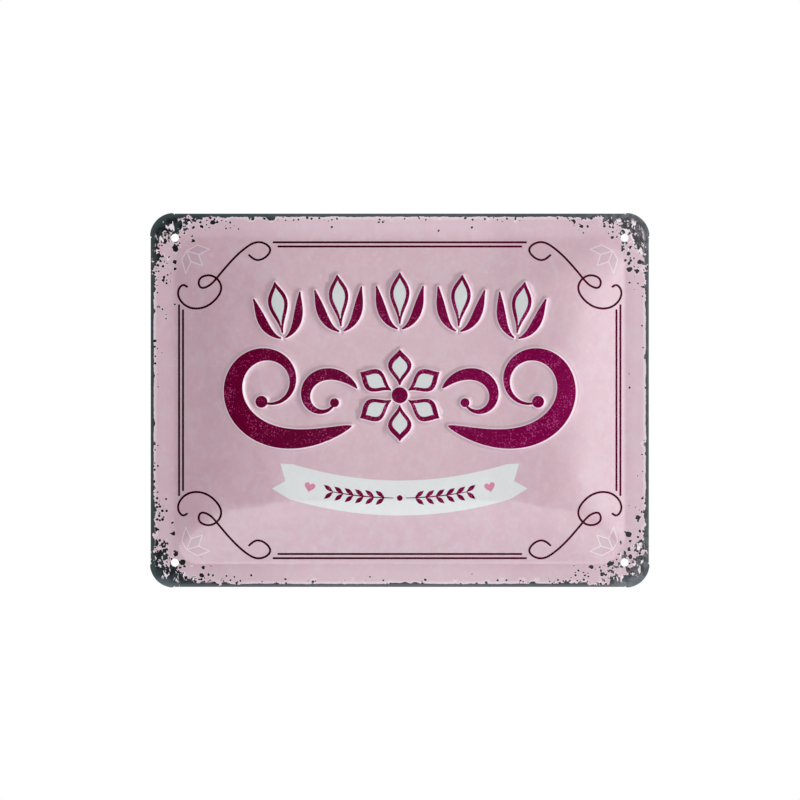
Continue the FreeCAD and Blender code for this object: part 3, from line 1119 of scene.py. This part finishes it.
# %% [markdown]
# ## What all the print shares
#
# Printed tinplate is paint under clear lacquer. Every print material is a
# Principled shader with a coat, and they share what the real prints share: a
# cloudy, brushed unevenness of the colour, pale pinholes where ink didn't take,
# and the faint ripple of the lacquer. Each of these is a node group, built once
# and placed in each material with its own values.

# %% Making and using a group
def new_group(name, inputs, outputs):
    """Empty node group: inputs have a name and a value, outputs a name and a kind."""
    group = bpy.data.node_groups.new(name, "ShaderNodeTree")
    for label, value in inputs.items():
        kind = "NodeSocketFloat" if isinstance(value, float) else "NodeSocketColor"
        group.interface.new_socket(label, in_out="INPUT", socket_type=kind).default_value = value
    for label, kind in outputs.items():
        group.interface.new_socket(label, in_out="OUTPUT", socket_type=kind)
    return group, put(group, "NodeGroupInput").outputs, put(group, "NodeGroupOutput")


def use_group(tree, group, **values):
    """A group placed in a tree with its own values. Colour=... fills its input Colour."""
    return put(tree, "ShaderNodeGroup", values, node_tree=group).outputs


print("groups so far", len(bpy.data.node_groups))

# %% Group: cloudy, brushed print
mottle, into, leave = new_group(
    "brushed_print", {"Colour": (0.8, 0.8, 0.8, 1), "Strength": 0.1}, {"Colour": "NodeSocketColor"})
clouds = noise(in_mm(mottle), 24.0, 4.0, 0.6, 0.4)
blotches = noise(in_mm(mottle, (1, 1, 0.8), (31, 0, 7)), 5.5, 3.0, 0.6, 0.8)
dabs = noise(in_mm(mottle, move=(2, 9, 4)), 1.7, 2.0, 0.6, 0.6)
grain = noise(in_mm(mottle), 0.7, 2.0, 0.6)
total = times(clouds, 0.9)
for layer, weight in ((blotches, 0.7), (dabs, 0.4), (grain, 0.2)):
    total = times_plus(layer, weight, total)
mean_total = 1.1
factor = times_plus(minus(total, mean_total), into["Strength"], 1.0)


def vector_math(operation, values):
    """One step of arithmetic on a colour's three parts at once."""
    return put(mottle, "ShaderNodeVectorMath", values, operation=operation).outputs[0]


shaded = vector_math("SCALE", {0: into["Colour"], "Scale": factor})
greyer = vector_math("MULTIPLY", {0: shaded, 1: (0.97, 1.10, 1.06)})
paler = vector_math("SCALE", {0: shaded, "Scale": 1.4})
greyed = times(times(ramp(blotches, 0.45, 0.65), into["Strength"]), 3.0)
dabbed = times(times(ramp(dabs, 0.58, 0.74), into["Strength"]), 0.7)
feed(leave, {"Colour": layers(shaded, (greyed, greyer), (dabbed, paler))})
print(mottle.name, len(mottle.nodes), "nodes")

# %% Group: pinholes
pinholes, into, leave = new_group("pinholes", {"Size": 1.0, "Amount": 0.5}, {"Mask": "NodeSocketFloat"})
fine = noise(in_mm(pinholes), into["Size"], 2.0, 0.6)
patchy = noise(in_mm(pinholes, move=(17, 3, 5)), 7.0, 2.0)
limit = minus(1.03, times(into["Amount"], 0.2))
over = minus(times_plus(patchy, 0.40, fine), limit)
feed(leave, {"Mask": ramp(over, 0.0, 0.045)})
print(pinholes.name, len(pinholes.nodes), "nodes")

# %% Group: lacquer
lacquer, into, leave = new_group(
    "lacquer", {"Roughness": 0.4, "Ripple": 0.1},
    {"Roughness": "NodeSocketFloat", "Normal": "NodeSocketVector"})
peel = noise(in_mm(lacquer), 1.1, 2.0, 0.5)
smear = noise(in_mm(lacquer, (1, 1, 0.5)), 9.0, 4.0, 0.65)
uneven = times_plus(minus(smear, 0.5), 0.22, into["Roughness"])
ripple = put(lacquer, "ShaderNodeBump", {"Strength": into["Ripple"], "Distance": 0.0001, "Height": peel})
feed(leave, {"Roughness": uneven, "Normal": ripple.outputs[0]})
print(lacquer.name, len(lacquer.nodes), "nodes")

# %% [markdown]
# ## The worn border
#
# The print carries a dark slate border with a ragged inner edge, as if the
# paint had chipped down to the ground coat: a narrow band along the sides, and
# wide patches in the corners. It could be drawn by hand, but a rule is truer to
# the sheet and fits all four sides: measure the distance to the sign's edge and
# to its corner, and compare them with how far the wear reaches at that place.

# %% Group: worn border, and how far in a place lies
wear_outputs = ("Slate", "Flakes", "Inwards", "Primer", "Dots")
wear, into, leave = new_group(
    "worn_border", {"Reach": 1.7, "Corner reach": 7.0}, dict.fromkeys(wear_outputs, "NodeSocketFloat"))
place = in_mm(wear)
wear_x, _, wear_z = split(place)
from_middle_x, from_middle_z = unsigned(wear_x), unsigned(wear_z)
out_x, out_z = minus(from_middle_x, half_x - corner_r), minus(from_middle_z, half_z - corner_r)
round_x, round_z = larger(out_x, 0.0), larger(out_z, 0.0)
squares = plus(times(round_x, round_x), times(round_z, round_z))
beyond = plus(calc("SQRT", squares), calc("MINIMUM", larger(out_x, out_z), 0.0))
inwards = minus(corner_r, beyond)

corner_way = plus(minus(half_x, from_middle_x), minus(half_z, from_middle_z))
from_corner = plus(corner_way, times_plus(noise(place, 9.0, 2.0), 14.0, -7.0))
near_corner = ramp(from_corner, 19.0, 42.0, 1.0, 0.0)
print("distances take", len(wear.nodes), "nodes")

# %% [markdown]
# Noise of two sizes makes the wear's inner line ragged, with bulges here and
# there. The corners swing far more than the sides. margin is the distance in
# millimetres from that line, above 0 where the paint has gone.

# %% The ragged line
chunks = noise(place, 4.2, 1.0, 0.4)
crumbs = noise(in_mm(wear, move=(8, 4, 1)), 1.35, 1.5, 0.5, 0.4)
ragged = plus(times(chunks, 0.55), times_plus(crumbs, 0.45, -0.5))
bulge = ramp(noise(in_mm(wear, move=(5, 21, 2)), 5.5, 1.0), 0.60, 0.74, 0.0, 1.5)
side_margin = plus(minus(times_plus(near_corner, 0.5, into["Reach"]), inwards), bulge)
side_margin = times_plus(ragged, times_plus(near_corner, 10.0, 1.0), side_margin)
corner_margin = times_plus(ragged, 26.0, times(minus(into["Corner reach"], from_corner), 0.55))
margin = larger(side_margin, corner_margin)
chipped = ramp(margin, -0.1, 0.1)
print("with the ragged line", len(wear.nodes), "nodes")

# %% [markdown]
# Inside the line lie round, nearly black dots. They gather in clusters near the
# corners and along the left edge, and get rarer further in. A Voronoi pattern
# has one point to a cell; a dot is the disc round it, in the share of the cells
# that the place calls for. Each dot has a pale rim of bared primer.

# %% Round dots
wobble = times_plus(noise(in_mm(wear, move=(8, 4, 1)), 1.6, 1.0), 2.4, -1.2)
swerve = times_plus(noise(in_mm(wear, move=(44, 3, 9)), 1.4, 1.0), 2.0, -1.0)
soft = 0.05


def dots(cell, least, more, share, shake, rim):
    """Masks of round dots and of their rims, at most one dot to a cell of cell millimetres.

    Their radius runs from least to least + more, and shake makes them less round.
    """
    shaken = put(wear, "ShaderNodeCombineXYZ", {
        0: times_plus(wobble, shake, wear_x), 1: times_plus(swerve, shake, wear_z)}).outputs[0]
    cells = put(wear, "ShaderNodeTexVoronoi", {"Vector": shaken, "Scale": 1 / cell},
                voronoi_dimensions="2D").outputs
    chance = put(wear, "ShaderNodeSeparateColor", {0: cells["Color"]}).outputs
    radius = times_plus(chance[1], more / cell, least / cell)
    depth = times(minus(radius, cells["Distance"]), cell)
    has_one = calc("GREATER_THAN", share, chance[0])
    return times(ramp(depth, -soft, soft), has_one), times(ramp(depth, -rim, -soft), has_one)


print("shaking takes", len(wear.nodes), "nodes so far")

# %% How many dots where
cluster = ramp(noise(in_mm(wear, move=(3, 71, 13)), 7.0, 1.0), 0.42, 0.62, 0.25, 1.8)
close_in = ramp(from_corner, 32.0, 54.0, 1.0, 0.0)
leftwards = ramp(wear_x, -96.0, -86.0, 0.20, 0.0)
small_share = plus(ramp(inwards, 2.0, 9.0, 0.36, 0.04), leftwards)
small_share = times_plus(small_share, close_in, ramp(inwards, 1.8, 4.2, 0.34, 0.01))
small_share = times(times_plus(near_corner, 0.22, small_share), cluster)
small_share = times(small_share, ramp(inwards, 8.5, 12.5, 1.0, 0.0))
large_share = times(ramp(from_corner, 26.0, 40.0, 0.50, 0.0), ramp(inwards, 10.0, 14.0, 1.0, 0.0))
small, small_rims = dots(1.7, 0.21, 0.38, small_share, 0.25, 0.32)
large, large_rims = dots(3.8, 0.45, 0.85, large_share, 0.7, 0.35)
specks, rims = larger(small, large), larger(small_rims, large_rims)
print("with the dots", len(wear.nodes), "nodes")

# %% [markdown]
# In the wide corner patches slanting flakes of paint are left standing, more of
# them in the upper right corner. Primer shows as a pale seam beside the line
# and round the dots.

# %% Flakes, primer and what the group puts out
slant, stretch = (0, 0.35, 0), (1.0, 1.0, 0.5)
slanting = put(wear, "ShaderNodeMapping", {"Vector": place, "Rotation": slant, "Scale": stretch})
flake_field = noise(slanting.outputs[0], 1.5, 2.0, 0.55, 0.5)
scraped = times(ramp(wear_x, 70.0, 90.0), ramp(wear_z, 45.0, 62.0))
flake_limit = times_plus(scraped, -0.055, 0.575)
flakes = times(ramp(minus(flake_field, flake_limit), 0.0, 0.03), ramp(inwards, 1.4, 3.2))
flakes = times(flakes, chipped)
slate = minus(larger(chipped, specks), flakes)
primer = larger(ramp(margin, -1.5, -0.1), rims)
feed(leave, {
    "Slate": slate, "Flakes": flakes, "Inwards": inwards,
    "Primer": times(primer, minus(1.0, slate)), "Dots": times(specks, minus(1.0, chipped)),
})
print(wear.name, len(wear.nodes), "nodes")

# %% [markdown]
# ## The inks
#
# Each ink is a brushed colour with pinholes that show a second colour. The wine
# ink and the fine lines have hardly any coat, because the mirrored studio would
# wash out so deep a colour. They also turn a little lighter and bluer from the
# left to the right, a painted light for the key lamp on the right. The pale ones
# have the same coat as the ground.

# %% One printed colour
def under_lacquer(tree, shader, colour, coat=1.0, gloss=0.12):
    """Common finish: a colour, the uneven lacquer, and a clear coat over it."""
    finish = use_group(tree, lacquer, Roughness=0.42, Ripple=0.12)
    feed(shader, {
        "Base Color": colour, "Roughness": finish["Roughness"], "Normal": finish["Normal"],
        "Coat Weight": coat, "Coat Roughness": 0.07, "Specular IOR Level": gloss,
    })


def ink(name, colour, hole_colour, strength, amount, size, painted_lit_colour=None, **finish):
    """Material of one ink: brushed by strength, with pinholes of a size and amount."""
    material, tree, shader = new_material(name)
    if painted_lit_colour:
        # painted light: the ink blends towards a lighter colour on the right, as if lit from that side
        colour = layers(colour, (ramp(split(in_mm(tree))[0], -80.0, 80.0), painted_lit_colour))
    brushed = use_group(tree, mottle, Colour=colour, Strength=strength)["Colour"]
    holes_mask = use_group(tree, pinholes, Size=size, Amount=amount)["Mask"]
    under_lacquer(tree, shader, layers(brushed, (holes_mask, hole_colour)), **finish)
    return material


deep = {"coat": 0.04, "gloss": 0.0}
print("a deep ink has a coat of", deep["coat"])

# %% The seven inks
finishes = {
    # the last colour of each deep ink is its painted lit side on the right
    "ink_ornament": ink("wine_ink", srgb(93, 1, 40), srgb(164, 56, 112), 0.40, 1.15, 0.60,
                        srgb(118, 1, 64), **deep),
    "frame_lines": ink("line_ink", srgb(42, 0, 15), srgb(96, 10, 52), 0.06, 0.2, 0.5,
                       srgb(72, 3, 35), **deep),
    "pale_inlays": ink("pale_ink", srgb(201, 203, 203), srgb(196, 178, 188), 0.10, 0.4, 0.7),
    "ribbon": ink("ribbon_ink", srgb(213, 214, 214), srgb(205, 188, 197), 0.08, 0.5, 0.9),
    "hearts": ink("heart_ink", srgb(200, 112, 146), srgb(222, 190, 205), 0.3, 0.4, 0.5),
    "corner_blossoms": ink("blossom_ink", srgb(216, 196, 205), srgb(205, 180, 191), 0.12, 0.9, 1.2),
    "blossom_petals": ink("petal_ink", srgb(191, 160, 171), srgb(192, 162, 173), 0.16, 0.5, 1.2),
}
print(len(finishes), "inks")

# %% [markdown]
# ## The printed face
#
# The pink ground is faintly brushed and pinholed, and paler on the rim, a painted
# light for the flat rim that stays brighter than the field's shaded slope. Beside
# the wine ink a pale band stands out a little: partly an underprint, partly a
# painted highlight of the pressed edges, slipped to the right where lit slopes
# shine; an attribute on the mesh, from_ink, says how far away the ink is. The
# worn border's slate is sooty and brushed. It is paler along the cut edge, and a
# painted reflection lightens its bottom edge and lower corners, and a painted
# sheen lightens it most in the corners on the right.

# %% Pink ground
face, tree, shader = new_material("printed_face")
pink, faded_pink, painted_rim_light = srgb(200, 167, 178), srgb(222, 200, 209), srgb(226, 204, 213)
primer_white, underprint_and_highlight, flake_white = srgb(240, 226, 233), srgb(232, 213, 223), srgb(240, 230, 234)
faint = use_group(tree, pinholes, Size=1.1, Amount=0.5)["Mask"]
worn = use_group(tree, wear, **{"Reach": 1.55, "Corner reach": 19.0})
from_ink = put(tree, "ShaderNodeAttribute", attribute_name="from_ink").outputs["Fac"]
ground = layers(
    use_group(tree, mottle, Colour=pink, Strength=0.19)["Colour"],
    (times(faint, 0.12), faded_pink),
    # painted light: the flat rim is paler, as if it caught more light than the field's slopes
    (ramp(worn["Inwards"], 5.0, 12.0, 0.27, 0.0), painted_rim_light),
    (times(worn["Primer"], 0.5), primer_white),
    # partly print, partly painted highlight: a pale band round the ink, wider on the right where the
    # pressed edges catch light
    (ramp(from_ink, 0.12, 0.58, 0.82, 0.0), underprint_and_highlight),
)
print("ground and wear take", len(tree.nodes), "nodes")

# %% Slate
soot, slate_grey, edge_slate = srgb(12, 14, 16), srgb(40, 49, 51), srgb(62, 75, 78)
painted_lower_reflection, sheen_grey, gloss_blue = srgb(116, 116, 120), srgb(156, 150, 159), srgb(108, 122, 132)
dot_black = srgb(8, 7, 10)
across, depth, up = split(in_mm(tree))
sooty = ramp(noise(in_mm(tree, move=(9, 2, 5)), 2.4, 2.0), 0.40, 0.62)
slate_tone = layers(soot, (sooty, slate_grey))
dark_slate = use_group(tree, mottle, Colour=slate_tone, Strength=0.5)["Colour"]
# painted sheen: the slate turns lighter towards the corners on the right, as lacquer catching the
# softbox
painted_sheen = times(ramp(across, 62.0, 92.0), ramp(unsigned(up), 40.0, 68.0, 0.06, 0.28))
painted_sheen = times(painted_sheen, ramp(sooty, 0.0, 1.0, 0.25, 1.0))
# painted reflection: a blue-grey gloss in the two lower corners
painted_corner_gloss = times(ramp(up, -69.0, -74.0, 0.0, 0.50), ramp(unsigned(across), 84.0, 95.0))
slate_colour = layers(
    dark_slate,
    (ramp(worn["Inwards"], 0.4, 3.2, 0.82, 0.0), edge_slate),
    # painted reflection: the bottom edge is lighter, as if its fold mirrored light from below
    (ramp(up, -73.0, -74.3, 0.0, 0.40), painted_lower_reflection),
    (painted_sheen, sheen_grey),
    (painted_corner_gloss, gloss_blue),
    (times(worn["Dots"], 0.9), dot_black),
)
print("with the slate", len(tree.nodes), "nodes")

# %% The whole face
round_back = ramp(depth, -0.22, -0.08)
coloured = layers(
    ground, (times(worn["Flakes"], 0.75), flake_white),
    (worn["Slate"], slate_colour), (round_back, dark_slate))
under_lacquer(tree, shader, coloured, coat=ramp(worn["Slate"], 0.0, 1.0, 1.0, 0.4))
print("printed face", len(tree.nodes), "nodes")

# %% [markdown]
# ## The bare back
#
# The back is tin as it leaves the rolls: bright metal with fine streaks along
# the sheet and soft cloudy spangle. Streaks are noise stretched in one
# direction, which also gives the roughness and a very faint bump.

# %% Tinplate back
tin, tree, shader = new_material("tinplate_back")
rolled = noise(in_mm(tree, (0.02, 1, 1)), 0.35, 3.0, 0.6)
spangle = noise(in_mm(tree), 14.0, 4.0, 0.6)
shade = times_plus(rolled, 0.25, times(spangle, 0.5))
streaks = put(tree, "ShaderNodeBump", {"Strength": 0.25, "Distance": 0.00003, "Height": rolled})
feed(shader, {
    "Base Color": layers(srgb(176, 178, 180), (ramp(shade, 0.2, 0.6), srgb(203, 204, 203))),
    "Metallic": 1.0, "Roughness": ramp(shade, 0.2, 0.6, 0.30, 0.44), "Normal": streaks.outputs[0],
})
print("tinplate back", len(tree.nodes), "nodes")

# %% [markdown]
# ## Putting it together
#
# The fine sheet stands for the CAD sheet, and the films ride on the same body.

# %% Sheet
sheet = make_piece("pressed_sheet", sheet_patches, [face, tin])
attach(sheet, "root")
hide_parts("sign_sheet")

# %% How far each point of the sheet lies from the ink
# the slip to the right turns the pale band into a painted highlight on the lit side of the relief
highlight_slip = [0.46, -0.10]
places = np.empty(3 * len(sheet.data.vertices), np.float32)
sheet.data.vertices.foreach_get("co", places)
places = places.reshape(-1, 3)[:, [0, 2]] / mm
distances = np.minimum(
    distance_to_any(places, inked), distance_to_any(places - highlight_slip, inked))
sheet.data.attributes.new("from_ink", "FLOAT", "POINT").data.foreach_set("value", distances)
print(int((distances < 0).sum()), "points lie under the ink")

# %% Films
for name, chosen in prints.items():
    piece = make_piece(name, film_patches(chosen), [finishes[name]])
    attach(piece, "root")
